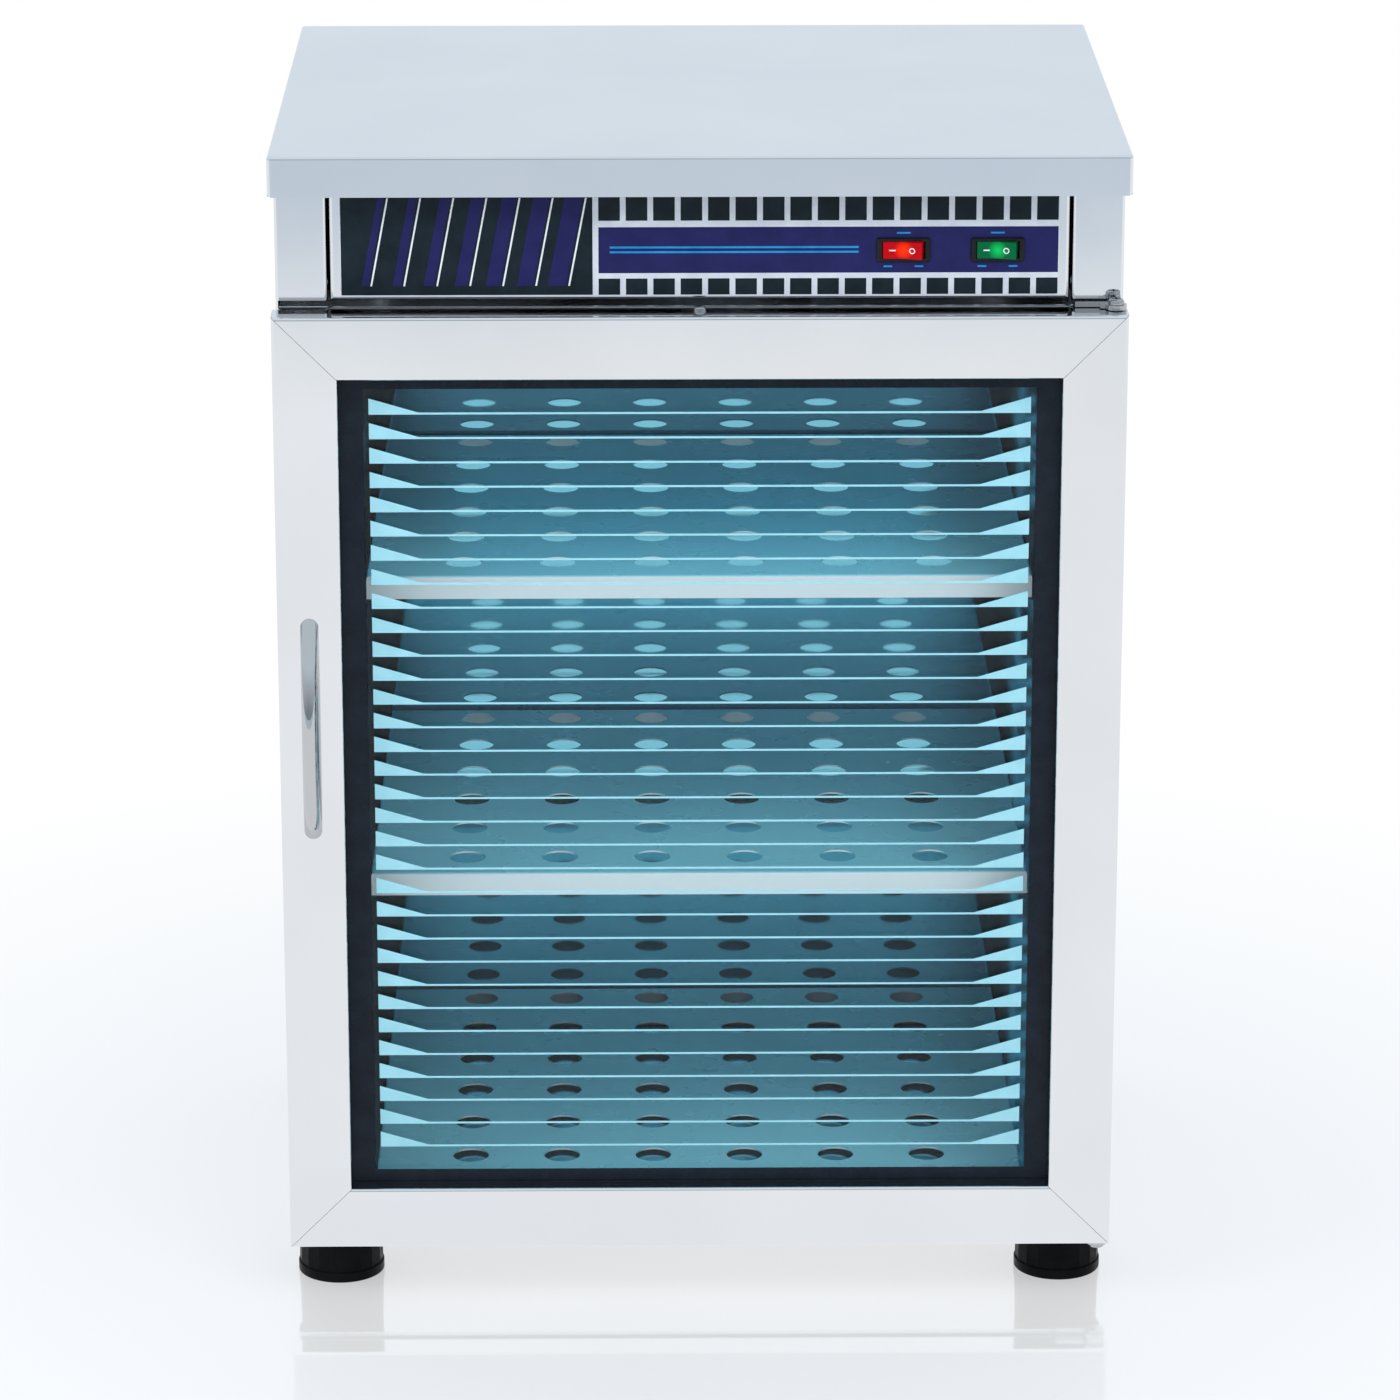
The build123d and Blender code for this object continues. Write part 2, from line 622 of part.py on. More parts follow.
def make_handle_screws():
    """Two screws inside the stile, through its face into the handle."""
    screws = []
    for z in HANDLE_FEET_Z:
        shank = rod_back(HANDLE_X, DOOR_FRONT_Y - 3.8, z, 1.95, 4.8 + SHEET - 1)
        head = rod_back(HANDLE_X, DOOR_FRONT_Y + SHEET, z, SCREW_HEAD_R, 2.4)
        screws.append(shank + head)
    return screws


def make_top_screw():
    """Screw in the top edge of the door."""
    y = DOOR_BACK_Y - TOP_SCREW_IN
    shank = rod(0, y, DOOR_TOP_Z - TOP_SCREW_L, 1.8, TOP_SCREW_L + 0.2)
    return Pos(0, y, DOOR_TOP_Z) * pan_head(3.9, 2.6) + shank


def make_bushes():
    """Plain bearings in the top and bottom of the door; the lower one carries the door's weight."""
    bore = PIVOT_R + PIVOT_CLEAR
    upper = rod(PIVOT_X, PIVOT_Y, DOOR_TOP_Z - BUSH_L, BUSH_R, BUSH_L + 0.2)
    upper = upper + rod(PIVOT_X, PIVOT_Y, DOOR_TOP_Z - SHEET - 1.2, BUSH_R + 0.4, 1.2)
    upper = upper - rod(PIVOT_X, PIVOT_Y, DOOR_TOP_Z - BUSH_L - 1, bore, BUSH_L + 6)
    lower = rod(PIVOT_X, PIVOT_Y, BODY_Z + 0.05, BUSH_R + 0.7, DOOR_CLEAR - 0.05)
    lower = lower + rod(PIVOT_X, PIVOT_Y, DOOR_Z - 0.5, BUSH_R, BUSH_L)
    lower = lower - rod(PIVOT_X, PIVOT_Y, BODY_Z - 1, bore, 2 * BUSH_L)
    return [upper, lower]


# Hinge


def hinge_outline():
    """Plan of a hinge plate: a tongue under the post and a rounded ear round the pivot."""
    tongue_mid = (POST_IN + 1.5 + BODY_HALF - 2) / 2
    tongue = Pos(tongue_mid, FRONT_Y - TONGUE_FRONT + TONGUE_L / 2, 0) * Rectangle(
        BODY_HALF - POST_IN - 3.5, TONGUE_L
    )
    ear = Pos(PIVOT_X, PIVOT_Y, 0) * Circle(PIVOT_IN - EAR_CLEAR)
    neck = Pos(PIVOT_X - 4, (PIVOT_Y + FRONT_Y) / 2 + 3, 0) * Rectangle(PIVOT_IN * 1.6, FRONT_Y - PIVOT_Y + 6)
    return tongue + ear + neck


def make_hinge_plate_upper():
    """Flat hinge plate with its pivot hole and two screw holes."""
    plate = Pos(0, 0, PLATE_Z) * extrude(hinge_outline(), PLATE_T)
    plate = plate - rod(PIVOT_X, PIVOT_Y, PLATE_Z - 1, PIVOT_R, PLATE_T + 2)
    for x in HINGE_SCREW_X:
        plate = plate - rod(x, HINGE_SCREW_Y, PLATE_Z - 1, SCREW_SHANK_R + 0.2, PLATE_T + 2)
    return plate


def make_hinge_plate_lower():
    """Angle on the front of the post: a low upright leg and an ear under the door."""
    under = BODY_Z - PLATE_T
    left = POST_IN + 2.0
    ear_r = PIVOT_IN - EAR_CLEAR
    right = PIVOT_X + ear_r
    ear = rod(PIVOT_X, PIVOT_Y, under, ear_r, PLATE_T)
    web = block(PIVOT_X - ear_r, right, PIVOT_Y, FRONT_Y, under, BODY_Z)
    foot = block(left, right, FRONT_Y - LOWER_LEDGE, FRONT_Y, under, BODY_Z)
    leg = block(left, PIVOT_X - LEG_BEFORE_PIVOT, FRONT_Y - LEG_T, FRONT_Y, under, BODY_Z + LEG_H)
    plate = ear + web + foot + leg - rod(PIVOT_X, PIVOT_Y, under - 1, PIVOT_R, PLATE_T + 2)
    for x in RIVET_X:
        plate = plate - rod_back(x, FRONT_Y - LEG_T - 1, RIVET_Z, 2.0, LEG_T + 2)
    return plate


def make_pivot_upper():
    """Pan-head pivot screw, down through the ear into the door."""
    shank_l = PLATE_Z + PLATE_T - DOOR_TOP_Z + PIVOT_DEPTH + 0.2
    head = Pos(PIVOT_X, PIVOT_Y, PLATE_Z + PLATE_T) * pan_head(PIVOT_HEAD_R, PIVOT_HEAD_H)
    return head + rod(PIVOT_X, PIVOT_Y, DOOR_TOP_Z - PIVOT_DEPTH, PIVOT_R, shank_l)


def make_pivot_lower():
    """Headed pin, up through the lower plate into the door."""
    under = BODY_Z - PLATE_T
    head = rod(PIVOT_X, PIVOT_Y, under - PIN_HEAD_H, PIN_HEAD_R, PIN_HEAD_H)
    return head + rod(PIVOT_X, PIVOT_Y, under - 0.5, PIVOT_R, PLATE_T + PIN_UP + 0.5)


def make_hinge_screws():
    """Screws of the upper plate, and flush rivets of the lower one."""
    screws = []
    for x in HINGE_SCREW_X:
        shank = rod(x, HINGE_SCREW_Y, PLATE_Z, SCREW_SHANK_R, PLATE_T + 0.2)
        screws.append(Pos(x, HINGE_SCREW_Y, PLATE_Z + PLATE_T) * pan_head(SCREW_HEAD_R, 2.2) + shank)
    for x in RIVET_X:
        rivet = rod_back(x, FRONT_Y - LEG_T, RIVET_Z, 1.95, LEG_T + SHEET + 0.5)
        screws.append(rivet + rod_back(x, FRONT_Y + SHEET, RIVET_Z, 3.4, 1.5))
    return screws


# Feet


def make_foot(x, y):
    """Levelling foot: faceted grip on a slightly wider ring, with a stud."""
    base = rod(x, y, 0, FOOT_R, FOOT_RING_H)
    base = fillet(base.edges().group_by(Axis.Z)[-1], 0.6)
    base = fillet(base.edges().group_by(Axis.Z)[0], 1.0)
    grip_low = Pos(x, y, FOOT_RING_H - 1) * RegularPolygon(FOOT_R - 0.6, FOOT_FACETS)
    grip_top = Pos(x, y, FOOT_H - 0.05) * RegularPolygon(FOOT_R - 1.2, FOOT_FACETS)
    grip = loft([grip_low, grip_top])
    grip = fillet(grip.edges().group_by(Axis.Z)[-1], 0.8)
    return base + grip + rod(x, y, FOOT_H - 1, STUD_R, 14)


def make_foot_nuts():
    """Four round nuts fixed on the base pan."""
    nuts = []
    for x in (-FOOT_X, FOOT_X):
        for y in FOOT_Y:
            nut = Pos(x, y, BODY_Z + SHEET) * extrude(RegularPolygon(NUT_R, 6), NUT_H)
            nuts.append(nut - rod(x, y, BODY_Z, STUD_R + 0.06, NUT_H + 4))
    return nuts


# Lamp and electrics


def make_lamp_caps():
    """Metal end caps of the tube, each with two contact pins."""
    caps = []
    for sign in (-1, 1):
        end = sign * LAMP_L / 2
        start = end if sign > 0 else end - LAMP_CAP_L
        cap = rod_across(start, LAMP_Y, LAMP_Z, LAMP_R + 0.3, LAMP_CAP_L)
        pin_start = end + LAMP_CAP_L if sign > 0 else end - LAMP_CAP_L - LAMP_PIN_L
        for step in (-LAMP_PIN_HALF, LAMP_PIN_HALF):
            cap = cap + rod_across(pin_start, LAMP_Y + step, LAMP_Z, 1.2, LAMP_PIN_L)
        caps.append(cap)
    return caps


def make_lamp_holders():
    """Sockets hung from the chamber ceiling at both ends of the tube."""
    holders = []
    for sign in (-1, 1):
        near = sign * (LAMP_L / 2 + LAMP_CAP_L + 0.2)
        x0, x1 = sorted((near, near + sign * HOLDER_T))
        body = block(
            x0, x1, LAMP_Y - HOLDER_HALF, LAMP_Y + HOLDER_HALF, LAMP_Z - HOLDER_HALF - 1, CEILING_Z
        )
        body = fillet(body.edges().filter_by(Axis.X).group_by(Axis.Z)[0], HOLDER_HALF * 0.6)
        bore_l = LAMP_PIN_L + 1
        for step in (-LAMP_PIN_HALF, LAMP_PIN_HALF):
            body = body - rod_across(min(near, near + sign * bore_l), LAMP_Y + step, LAMP_Z, 1.35, bore_l)
        holders.append(body)
    return holders


def make_reflector():
    """Shallow folded reflector above the tube."""
    path = [
        (LAMP_Y + REFLECTOR_HALF, CEILING_Z - REFLECTOR_DROP),
        (LAMP_Y + REFLECTOR_FLAT, CEILING_Z),
        (LAMP_Y - REFLECTOR_FLAT, CEILING_Z),
        (LAMP_Y - REFLECTOR_HALF, CEILING_Z - REFLECTOR_DROP),
    ]
    section = folded_sheet(path, 0.8, 1.0)
    return extrude(Plane.YZ * section, LAMP_L / 2 - 2, both=True)


def make_ballast():
    """Choke with mounting ears."""
    z = CEILING_Z + SHEET
    half_l = BALLAST_L / 2
    half_w = BALLAST_W / 2
    core = block(
        BALLAST_X - half_l, BALLAST_X + half_l, ELECTRICS_Y - half_w, ELECTRICS_Y + half_w, z, z + BALLAST_H
    )
    core = fillet(core.edges().filter_by(Axis.X), 3)
    ear_l = half_l + BALLAST_EAR
    ear_w = half_w - 6
    ears = block(
        BALLAST_X - ear_l, BALLAST_X + ear_l, ELECTRICS_Y - ear_w, ELECTRICS_Y + ear_w, z, z + 1.5
    )
    return core + ears


def make_starter_socket():
    """Round socket on the ceiling."""
    z = CEILING_Z + SHEET
    cup = rod(STARTER_X, ELECTRICS_Y, z, SOCKET_R, SOCKET_H)
    return cup - rod(STARTER_X, ELECTRICS_Y, z + SOCKET_FLOOR, STARTER_R + 0.3, SOCKET_H)


def make_starter():
    """Glow starter standing in its socket."""
    can = rod(STARTER_X, ELECTRICS_Y, CEILING_Z + SHEET + SOCKET_FLOOR, STARTER_R, STARTER_L)
    return fillet(can.edges().group_by(Axis.Z)[-1], 2)


def make_terminal_block():
    """Row of screw terminals."""
    z = CEILING_Z + SHEET
    y = LAMP_Y + TERMINAL_BACK
    strip = block(
        -TERMINAL_L / 2, TERMINAL_L / 2, y - TERMINAL_W / 2, y + TERMINAL_W / 2, z, z + TERMINAL_H
    )
    for k in range(-3, 4):
        strip = strip - rod(k * TERMINAL_PITCH, y, z + TERMINAL_H / 2, 2.6, TERMINAL_H)
    return strip


def make_gland():
    """Cable inlet in the back panel."""
    y = BODY_BACK_Y
    collar = rod_back(GLAND_X, y + SHEET, GLAND_Z, GLAND_COLLAR_R, GLAND_COLLAR_T)
    nose = rod_back(GLAND_X, y + GLAND_COLLAR_T, GLAND_Z, GLAND_NOSE_R, GLAND_PROUD - GLAND_COLLAR_T)
    nose = fillet(nose.edges().group_by(Axis.Y)[-1], 1.5)
    neck = rod_back(GLAND_X, y - GLAND_NUT_T - 2, GLAND_Z, GLAND_R, GLAND_NUT_T + 5)
    nut = rod_back(GLAND_X, y - GLAND_NUT_T, GLAND_Z, GLAND_COLLAR_R, GLAND_NUT_T)
    return collar + nose + neck + nut - rod_back(GLAND_X, y - 10, GLAND_Z, GLAND_BORE_R, 30)


def make_casing_screws():
    """Screw heads on the back panel."""
    screws = []
    for x in (-BODY_HALF + 14, BODY_HALF - 14):
        for share in (0.06, 0.36, 0.66, 0.95):
            z = BODY_Z + share * (HEIGHT - LID_SKIRT - BODY_Z)
            head = Pos(x, BODY_BACK_Y + SHEET, z) * Rot(-90, 0, 0) * pan_head(SCREW_HEAD_R, 2.0)
            screws.append(head)
    return screws


def all_nodes():
    """Every sub-part by name."""
    shelf_front = FRONT_Y + SHELF_FRONT
    shelf_back = CHAMBER_BACK_Y - SHELF_BACK_GAP
    nodes = {
        "lid": make_lid(),
        "side_left": make_side(-1),
        "side_right": make_side(1),
        "back_panel": make_back(),
        "base_pan": make_base(),
        "header_rail": make_header(),
        "casing_screws": make_casing_screws(),
        "cable_gland": make_gland(),
        "liner_left": make_liner_side(-1),
        "liner_right": make_liner_side(1),
        "liner_back": block(
            -CHAMBER_HALF, CHAMBER_HALF, CHAMBER_BACK_Y, CHAMBER_BACK_Y + SHEET, FLOOR_Z, CEILING_Z
        ),
        "chamber_ceiling": block(
            -POST_IN, POST_IN, FRONT_Y + SHEET, CHAMBER_BACK_Y + SHEET, CEILING_Z, CEILING_Z + SHEET
        ),
        "chamber_floor": block(
            -POST_IN, POST_IN, FRONT_Y, CHAMBER_BACK_Y + SHEET, FLOOR_Z - SHEET, FLOOR_Z
        ),
        "ledges_left": [make_ledge(-1, top) for top in SHELF_TOPS[:2]],
        "ledges_right": [make_ledge(1, top) for top in SHELF_TOPS[:2]],
        "shelf_upper": make_shelf(SHELF_TOPS[0], shelf_front, shelf_back),
        "shelf_middle": make_shelf(SHELF_TOPS[1], shelf_front, shelf_back),
        "floor_plate": make_shelf(SHELF_TOPS[2], shelf_front, shelf_back),
        "fascia": make_fascia(),
        "overlay": make_overlay(),
        "switch_housing_power": make_switch_housing(SWITCH_X[0]),
        "switch_housing_uv": make_switch_housing(SWITCH_X[1]),
        "rocker_power": make_rocker(SWITCH_X[0]),
        "rocker_uv": make_rocker(SWITCH_X[1]),
        "door_switch": block(-11, 11, FRONT_Y + SHEET, FRONT_Y + 17, PLUNGER_Z - 9, PLUNGER_Z + 9)
        - rod_back(0, FRONT_Y, PLUNGER_Z, PLUNGER_R + 0.05, 12),
        "door_plunger": rod_back(0, DOOR_BACK_Y + 0.4, PLUNGER_Z, PLUNGER_R, 10),
        "catch": make_catch(),
        "glass": block(
            -DOOR_HALF + FRAME_W - 8, DOOR_HALF - FRAME_W + 8, GLASS_Y, GLASS_Y + GLASS_T,
            DOOR_Z + FRAME_W - 8, DOOR_TOP_Z - FRAME_W + 8,
        ),
        "glass_gasket": ring(FRAME_W - GASKET_W, FRAME_W - 0.2, DOOR_FRONT_Y + FRAME_LIP, GLASS_Y),
        "glass_retainer": make_retainer(),
        "door_seal": ring(SEAL_IN, SEAL_IN + SEAL_W, DOOR_BACK_Y, DOOR_BACK_Y + SEAL_T),
        "strike": block(
            CATCH_X - CATCH_HALF_W + 1, CATCH_X + CATCH_HALF_W - 1, DOOR_BACK_Y, DOOR_BACK_Y + 1.2,
            CATCH_Z - CATCH_HALF_H + 1, CATCH_Z + CATCH_HALF_H - 1,
        ),
        "handle": make_handle(),
        "handle_screws": make_handle_screws(),
        "door_top_screw": make_top_screw(),
        "bushes": make_bushes(),
        "hinge_plate_upper": make_hinge_plate_upper(),
        "hinge_plate_lower": make_hinge_plate_lower(),
        "pivot_upper": make_pivot_upper(),
        "pivot_lower": make_pivot_lower(),
        "hinge_screws": make_hinge_screws(),
        "lamp_tube": rod_across(-LAMP_L / 2, LAMP_Y, LAMP_Z, LAMP_R, LAMP_L),
        "lamp_caps": make_lamp_caps(),
        "lamp_holders": make_lamp_holders(),
        "reflector": make_reflector(),
        "ballast": make_ballast(),
        "starter": make_starter(),
        "starter_socket": make_starter_socket(),
        "terminal_block": make_terminal_block(),
        "foot_nuts": make_foot_nuts(),
        "foot_front_left": make_foot(-FOOT_X, FOOT_Y[0]),
        "foot_front_right": make_foot(FOOT_X, FOOT_Y[0]),
        "foot_back_left": make_foot(-FOOT_X, FOOT_Y[1]),
        "foot_back_right": make_foot(FOOT_X, FOOT_Y[1]),
    }
    nodes.update(make_door_frame())
    return nodes


os.makedirs("parts", exist_ok=True)
for node_name, shape in all_nodes().items():
    pieces = shape if isinstance(shape, list) else [shape]
    solids = [solid for piece in pieces for solid in piece.solids()]
    part = Compound(children=solids) if len(solids) > 1 else solids[0]
    export_step(part, f"parts/{node_name}.step")
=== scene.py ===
"""Looks of the UV sterilizer cabinet: materials, printed glass, control film, studio and camera."""
import json
import math

import bmesh
import bpy
from mathutils import Euler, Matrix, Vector


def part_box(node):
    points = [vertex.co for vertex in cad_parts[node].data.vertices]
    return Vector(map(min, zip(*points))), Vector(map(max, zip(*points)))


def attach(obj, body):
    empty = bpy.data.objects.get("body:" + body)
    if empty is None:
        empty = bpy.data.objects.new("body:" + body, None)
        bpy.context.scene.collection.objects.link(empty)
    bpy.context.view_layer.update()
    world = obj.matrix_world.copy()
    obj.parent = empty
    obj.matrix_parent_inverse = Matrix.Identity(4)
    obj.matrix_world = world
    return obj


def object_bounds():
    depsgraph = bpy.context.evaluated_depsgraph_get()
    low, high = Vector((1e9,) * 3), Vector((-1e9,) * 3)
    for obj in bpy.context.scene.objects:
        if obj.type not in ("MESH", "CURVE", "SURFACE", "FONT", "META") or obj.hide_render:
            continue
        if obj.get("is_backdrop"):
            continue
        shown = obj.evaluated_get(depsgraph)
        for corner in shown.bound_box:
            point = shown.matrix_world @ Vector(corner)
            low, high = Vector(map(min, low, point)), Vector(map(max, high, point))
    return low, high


MM = 0.001

# Camera, in metres and degrees; the focal length is in pixels of a 1400 pixel frame
CAMERA_PLACE = (-0.0380, -3.562, 1.4307)
CAMERA_PITCH = 17.284
CAMERA_YAW = 0.643
FOCAL_PX = 6017.0
FRAME_PX = 1400.0

# Print on the door glass, in millimetres
STRIPE_COUNT = 32
STRIPE_PITCH = 14.7
STRIPE_TOP_Z = 550.5
STRIPE_HALF = 192.5
STRIPE_LINE = 1.2
WEDGE_H = 9.7
WEDGE_L = 29.0
BORDER_SIDE = 14.0
BORDER_TOP = 8.0
GLASS_HIDDEN = 8.0
GASKET_CLEAR = 0.1
INK_T = 0.06

# Print on the control film, in millimetres
FILM_LEFT = -207.6
FILM_RIGHT = 207.6
FIELD_RIGHT = -62.0
SQUARE_START = -58.6
SQUARE_PITCH = 15.85
SQUARE_W = 12.5
SQUARE_COUNT = 17
LOWER_ROW = (618.6, 628.2)
NAVY_BAND = (631.4, 658.6)
UPPER_ROW = (662.4, 677.0)
FIELD_Z = (618.6, 690.5)
BEZEL_HALF_W = 14.5
BEZEL_HALF_H = 6.4

# Slanted bars on the dark field, each wider than the last, with a white edge beside it
BAR_COUNT = 7
BAR_START = -196.0
BAR_PITCH = 18.0
BAR_W = 4.0
BAR_GROWTH = 1.1
BAR_LEAN = 10.0
BAR_Z = (624.0, 676.0)
EDGE_GAP = 1.2
EDGE_W = 1.0

# Ticks round the switches and the two lines beside them
TICK_TOP_HALF = 4.0
TICK_TOP_Z = (654.4, 655.4)
TICK_LOW_HALF = 2.5
TICK_LOW_SIDE = 9.0
TICK_LOW_Z = (634.6, 635.6)
LINE_X = (-52.0, 92.0)
LINE_Z = ((643.2, 644.4), (646.0, 647.2))

# Rockers, in millimetres
SWITCH_X = (118.0, 172.5)
SWITCH_Z = 645.0
ROCKER_Y = -159.5
ROCKER_HALF = 11.4
ROCKER_MID = 4.0
ROCKER_V = 1.8
ROCKER_TILT = 9.0
LIT_RADIUS = 6.0
DASH_X = (-7.6, -4.0)
DASH_Z = (-0.35, 0.35)
RING_X = 5.6
RING_OUT = 1.75
RING_IN = 1.2
MARK_LIFT = 0.06
MARK_SINK = 0.02

# Floor, in metres, and the share of plain white and of mirror image in what the camera sees
FLOOR_REACH = 14.0
FLOOR_WHITE = 0.65
FLOOR_MIRROR = 0.28
FLOOR_MIRROR_ROUGH = 0.04
NEAR_RADIUS = 0.42
FAR_RADIUS = 0.9

# Floor as metal and glass show it: darker in front, paler by the object
PALE_Y = (-3.6, -0.1)
PALE_STOPS = ((0.12, (0.63, 0.71, 0.80, 1)), (0.30, (0.94, 0.96, 0.98, 1)))

# Studio round the object: greyer low in front, paler above and behind
STUDIO_TILT = 2.5
STUDIO_STOPS = ((0.1, (0.34, 0.375, 0.42, 1)), (0.75, (0.84, 0.92, 1.0, 1)))
STUDIO_STRENGTH = 0.9

# Square soft lights: place and size in metres, power in watts
LIGHT_TARGET = (0, 0, 0.3)
LIGHTS = {
    "key": ((0.9, -2.0, 2.6), 1.8, 36),
    "fill": ((-2.2, -1.2, 1.7), 1.6, 25),
    "top": ((0.0, 0.6, 2.8), 2.0, 30),
}

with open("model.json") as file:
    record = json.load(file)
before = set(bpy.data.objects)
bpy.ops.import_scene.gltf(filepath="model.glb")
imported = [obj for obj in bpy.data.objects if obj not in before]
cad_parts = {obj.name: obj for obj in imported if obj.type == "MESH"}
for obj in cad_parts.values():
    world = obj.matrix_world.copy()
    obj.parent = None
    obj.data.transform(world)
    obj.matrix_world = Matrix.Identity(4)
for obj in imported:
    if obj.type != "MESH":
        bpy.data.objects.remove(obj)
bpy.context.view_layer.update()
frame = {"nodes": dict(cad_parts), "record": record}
cad_nodes = frame["nodes"]
scene = bpy.context.scene
scene.view_settings.view_transform = "Standard"


def linear(red, green, blue):
    """Linear colour from 8-bit sRGB values."""
    values = []
    for channel in (red, green, blue):
        share = channel / 255
        values.append(share / 12.92 if share <= 0.04045 else ((share + 0.055) / 1.055) ** 2.4)
    return (*values, 1.0)


class Surface:
    """A node material with one Principled shader and helpers for its detail."""

    def __init__(self, name, colour, roughness, metallic=0.0):
        self.material = bpy.data.materials.new(name)
        self.material.use_nodes = True
        self.tree = self.material.node_tree
        self.shader = self.tree.nodes["Principled BSDF"]
        self.shader.inputs["Base Color"].default_value = colour
        self.shader.inputs["Roughness"].default_value = roughness
        self.shader.inputs["Metallic"].default_value = metallic
        self.place = self.tree.nodes.new("ShaderNodeTexCoord").outputs["Object"]

    def link(self, source, target):
        self.tree.links.new(source, target)

    def noise(self, scale, detail=3.0, stretch=(1, 1, 1)):
        mapping = self.tree.nodes.new("ShaderNodeMapping")
        mapping.inputs["Scale"].default_value = stretch
        texture = self.tree.nodes.new("ShaderNodeTexNoise")
        texture.inputs["Scale"].default_value = scale
        texture.inputs["Detail"].default_value = detail
        self.link(self.place, mapping.inputs["Vector"])
        self.link(mapping.outputs["Vector"], texture.inputs["Vector"])
        return texture.outputs["Fac"]

    def spread(self, source, low, high, start=0.3, end=0.7):
        node = self.tree.nodes.new("ShaderNodeMapRange")
        node.inputs["From Min"].default_value = start
        node.inputs["From Max"].default_value = end
        node.inputs["To Min"].default_value = low
        node.inputs["To Max"].default_value = high
        self.link(source, node.inputs["Value"])
        return node.outputs["Result"]

    def vary_roughness(self, low, high, scale, detail=4.0, stretch=(1, 1, 1)):
        varied = self.spread(self.noise(scale, detail, stretch), low, high)
        self.link(varied, self.shader.inputs["Roughness"])

    def vary_colour(self, first, second, scale, detail=4.0, stretch=(1, 1, 1)):
        ramp = self.tree.nodes.new("ShaderNodeValToRGB")
        ramp.color_ramp.elements[0].position = 0.32
        ramp.color_ramp.elements[1].position = 0.68
        ramp.color_ramp.elements[0].color = first
        ramp.color_ramp.elements[1].color = second
        self.link(self.noise(scale, detail, stretch), ramp.inputs["Fac"])
        self.link(ramp.outputs["Color"], self.shader.inputs["Base Color"])

    def bump(self, scale, distance, strength=1.0, detail=2.0, stretch=(1, 1, 1)):
        node = self.tree.nodes.new("ShaderNodeBump")
        node.inputs["Distance"].default_value = distance
        node.inputs["Strength"].default_value = strength
        self.link(self.noise(scale, detail, stretch), node.inputs["Height"])
        self.link(node.outputs["Normal"], self.shader.inputs["Normal"])

    def spot(self, centre, radius, middle, around):
        """Colour that goes from one value at a point to another a radius away."""
        distance = self.tree.nodes.new("ShaderNodeVectorMath")
        distance.operation = "DISTANCE"
        distance.inputs[1].default_value = centre
        mix = self.tree.nodes.new("ShaderNodeMix")
        mix.data_type = "RGBA"
        mix.inputs["A"].default_value = middle
        mix.inputs["B"].default_value = around
        self.link(self.place, distance.inputs[0])
        self.link(self.spread(distance.outputs["Value"], 0.0, 1.0, 0.0, radius), mix.inputs["Factor"])
        self.link(mix.outputs["Result"], self.shader.inputs["Base Color"])
        self.link(mix.outputs["Result"], self.shader.inputs["Emission Color"])

    def glow(self, colour, strength):
        self.shader.inputs["Emission Color"].default_value = colour
        self.shader.inputs["Emission Strength"].default_value = strength


def sheet(name, bright, dark, rough, ripple, metallic=1.0):
    """Sheet metal: faint clouding in colour and gloss, and sheet that isn't quite flat."""
    surface = Surface(name, bright, rough[0], metallic=metallic)
    surface.vary_colour(dark, bright, 7.0, 5.0)
    surface.vary_roughness(*rough, 16.0, 6.0)
    surface.bump(5.0, ripple, 0.6, 1.5)
    return surface


def steel(name, bright, dark, rough, ripple, metallic=1.0):
    return sheet(name, bright, dark, rough, ripple, metallic).material


def plastic(name, first, second, rough, grain, grain_scale, sheen=0.5):
    """Moulded plastic or rubber with a fine grain."""
    surface = Surface(name, first, rough[0])
    surface.shader.inputs["Specular IOR Level"].default_value = sheen
    surface.vary_colour(first, second, 60.0, 5.0)
    surface.vary_roughness(*rough, 220.0, 4.0)
    surface.bump(grain_scale, grain, 0.5, 2.0)
    return surface.material


def lens(name, x, around, lit, strength):
    """Lit rocker: clear coloured plastic with a small lamp behind its middle."""
    surface = Surface(name, around, 0.22)
    surface.shader.inputs["Specular IOR Level"].default_value = 0.08
    surface.glow(around, strength)
    surface.spot((x * MM, (ROCKER_Y - ROCKER_MID) * MM, SWITCH_Z * MM), LIT_RADIUS * MM, lit, around)
    surface.vary_roughness(0.16, 0.3, 300.0)
    return surface.material


def tinted_glass(name, tint, shadow_tint):
    """Tinted glass that lets lamps shine through."""
    surface = Surface(name, tint, 0.0)
    surface.shader.inputs["Transmission Weight"].default_value = 1.0
    surface.shader.inputs["IOR"].default_value = 1.25
    clear = surface.tree.nodes.new("ShaderNodeBsdfTransparent")
    clear.inputs["Color"].default_value = shadow_tint
    path = surface.tree.nodes.new("ShaderNodeLightPath")
    mix = surface.tree.nodes.new("ShaderNodeMixShader")
    output = surface.tree.nodes["Material Output"]
    surface.link(path.outputs["Is Shadow Ray"], mix.inputs["Fac"])
    surface.link(surface.shader.outputs["BSDF"], mix.inputs[1])
    surface.link(clear.outputs["BSDF"], mix.inputs[2])
    surface.link(mix.outputs["Shader"], output.inputs["Surface"])
    return surface.material


